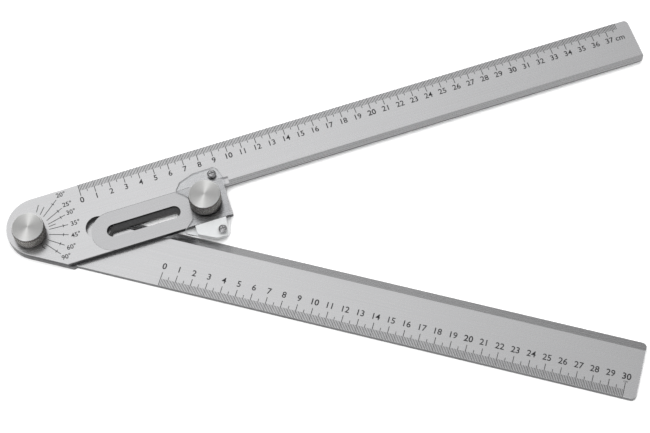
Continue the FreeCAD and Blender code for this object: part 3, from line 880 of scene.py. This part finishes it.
def recess_cutter(centre, top):
    """Cross-shaped plug that tapers towards its foot."""
    a, r = RECESS_ARM, RECESS_REACH
    cross = ((r, -a), (r, a), (a, a), (a, r), (-a, r), (-a, a),
             (-r, a), (-r, -a), (-a, -a), (-a, -r), (a, -r), (a, -a))
    mesh = bmesh.new()
    rings = []
    for height, size in ((top - RECESS_DEPTH, RECESS_FOOT), (top + RECESS_CLEAR, RECESS_MOUTH)):
        rings.append([mesh.verts.new((centre[0] + x * size, centre[1] + y * size, height))
                      for x, y in cross])
    mesh.faces.new(reversed(rings[0]))
    mesh.faces.new(rings[1])
    for index in range(len(cross)):
        following = (index + 1) % len(cross)
        mesh.faces.new((rings[0][index], rings[0][following], rings[1][following], rings[1][index]))
    data = bpy.data.meshes.new("recess_cutter")
    mesh.to_mesh(data)
    mesh.free()
    cutter = bpy.data.objects.new("recess_cutter", data)
    bpy.context.scene.collection.objects.link(cutter)
    return cutter


def make_screw(node):
    low, high = [Vector(corner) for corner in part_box(node)]
    centre = (low + high) / 2
    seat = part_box("keeper_plate")[1][2]
    radius = (high.x - low.x) / 2
    height = high.z - seat
    core = SCREW_RADIUS - THREAD_DEPTH
    profile = [(0.0, low.z), (core - SCREW_POINT, low.z), (core, low.z + SCREW_POINT),
               (core, seat), (radius - HEAD_ARRIS, seat), (radius, seat + HEAD_ARRIS)]
    for step in range(DOME_STEPS + 1):
        lean = math.pi / 2 * step / DOME_STEPS
        profile.append((radius * (HEAD_SHARE + (1 - HEAD_SHARE) * math.cos(lean)),
                        seat + height * (HEAD_SHARE + (1 - HEAD_SHARE) * math.sin(lean))))
    profile.append((0.0, high.z))
    mesh = bmesh.new()
    lathe(mesh, profile, centre, SCREW_SEGMENTS)
    bmesh.ops.recalc_face_normals(mesh, faces=mesh.faces)
    blank_data = bpy.data.meshes.new("screw_blank")
    mesh.to_mesh(blank_data)
    mesh.free()
    blank = bpy.data.objects.new("screw_blank", blank_data)
    bpy.context.scene.collection.objects.link(blank)
    cutter = recess_cutter(centre, high.z)
    cut = blank.modifiers.new("recess", "BOOLEAN")
    cut.object = cutter
    cut.operation = "DIFFERENCE"
    cut.solver = "EXACT"
    shaped = bpy.data.meshes.new_from_object(
        blank.evaluated_get(bpy.context.evaluated_depsgraph_get()))
    mesh = bmesh.new()
    mesh.from_mesh(shaped)
    for spare in (blank, cutter):
        bpy.data.objects.remove(spare)
    bpy.data.meshes.remove(shaped)
    helix_thread(mesh, centre, core, low.z + SCREW_POINT, seat)
    piece = piece_from(node + "_pan_head", mesh, dark_nickel, "upper_rule")
    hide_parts(node)
    return piece


make_screw("keeper_screw_upper")
make_screw("keeper_screw_lower")


# ---- Bench, light and camera ---------------------------------------------------------
# A plain white bench under a broad soft light, seen from above and in front of the rules.
# A bright band crosses the sky over the pivot, which shapes the bevels and fans out on the caps.
# The sky is lifted at the front, and the wash over the bench isn't mirrored in the metal.
FLOOR_SIZE = 3.0
FLOOR_GAP = 0.02 * MM
FLOOR_MIDDLE = 0.2
WASH_SIZE = 2.4
WASH_POWER = 58.0
WASH_PLACE = (0.2, 0.1, 1.9)
CAMERA_PLACE = Vector((0.0602, -0.5397, 1.0089))
CAMERA_AIM = Vector((0.1854, -0.0468, 0.0))
CAMERA_ROLL = math.radians(4.34)
CAMERA_LENS = 96.0
BAND_LEAN = math.radians(30.0)
BAND_MIDDLE = -0.26
BAND_REACH = 0.46
BAND_LEVELS = (1.20, 0.38)
FRONT_LIFT = 1.8
FRONT_FALL = (-0.45, -0.05)
OVERHEAD_RISE = (0.25, 0.85)
HORIZON_LEVEL = 0.42


def bench_white():
    material, tree, shader = new_material("bench_white", Roughness=0.9)
    place = add(tree, "TexCoord").outputs["Object"]
    cloud = add(tree, "TexNoise", {"Vector": place, "Scale": 5.0, "Detail": 2.0}).outputs[0]
    colour = blended(tree, cloud, (0.90, 0.90, 0.90, 1.0), (0.92, 0.92, 0.92, 1.0))
    tree.links.new(colour, shader.inputs["Base Color"])
    return material


mesh = bmesh.new()
bmesh.ops.create_grid(mesh, x_segments=8, y_segments=8, size=FLOOR_SIZE / 2)
floor_data = bpy.data.meshes.new("bench")
mesh.to_mesh(floor_data)
mesh.free()
floor_data.transform(Matrix.Translation((FLOOR_MIDDLE, 0.0, cad_box[0][2] - FLOOR_GAP)))
floor_data.materials.append(bench_white())
bench = bpy.data.objects.new("bench", floor_data)
bpy.context.scene.collection.objects.link(bench)

world = bpy.data.worlds.new("studio")
bpy.context.scene.world = world
world.use_nodes = True
sky = world.node_tree
direction = add(sky, "SeparateXYZ", {0: add(sky, "TexCoord").outputs["Generated"]})
overhead = spread(sky, direction.outputs["Z"], *OVERHEAD_RISE, HORIZON_LEVEL, 1.0)
frontal = spread(sky, direction.outputs["Y"], *FRONT_FALL, FRONT_LIFT, 1.0)
across = sums(sky, "SUBTRACT",
              sums(sky, "MULTIPLY", direction.outputs["X"], math.cos(BAND_LEAN)),
              sums(sky, "MULTIPLY", direction.outputs["Y"], math.sin(BAND_LEAN)))
aside = add(sky, "Math", {0: sums(sky, "SUBTRACT", across, BAND_MIDDLE)}, operation="ABSOLUTE")
band = spread(sky, aside.outputs[0], 0.0, BAND_REACH, *BAND_LEVELS)
shown = add(sky, "LightPath").outputs["Is Camera Ray"]
glow = sums(sky, "MULTIPLY", sums(sky, "MULTIPLY", overhead, band), frontal)
level = blended(sky, shown, glow, (1.0, 1.0, 1.0, 1.0))
sky.links.new(level, sky.nodes["Background"].inputs["Color"])
sky.nodes["Background"].inputs["Strength"].default_value = 1.0

wash = bpy.data.lights.new("overhead_wash", "AREA")
wash.shape = "SQUARE"
wash.size = WASH_SIZE
wash.energy = WASH_POWER
wash_stand = bpy.data.objects.new("overhead_wash", wash)
wash_stand.location = WASH_PLACE
wash_stand.visible_glossy = False
wash_stand.visible_transmission = False
bpy.context.scene.collection.objects.link(wash_stand)

camera_data = bpy.data.cameras.new("camera")
camera_data.lens = CAMERA_LENS
camera_data.sensor_width = 36.0
camera_data.sensor_fit = "HORIZONTAL"
camera_data.clip_start = 0.05
camera = bpy.data.objects.new("camera", camera_data)
facing = (CAMERA_AIM - CAMERA_PLACE).to_track_quat("-Z", "Y").to_matrix().to_4x4()
camera.matrix_world = (Matrix.Translation(CAMERA_PLACE) @ facing
                       @ Matrix.Rotation(-CAMERA_ROLL, 4, "Z"))
bpy.context.scene.collection.objects.link(camera)
bpy.context.scene.camera = camera
bpy.context.scene.view_settings.view_transform = "Standard"
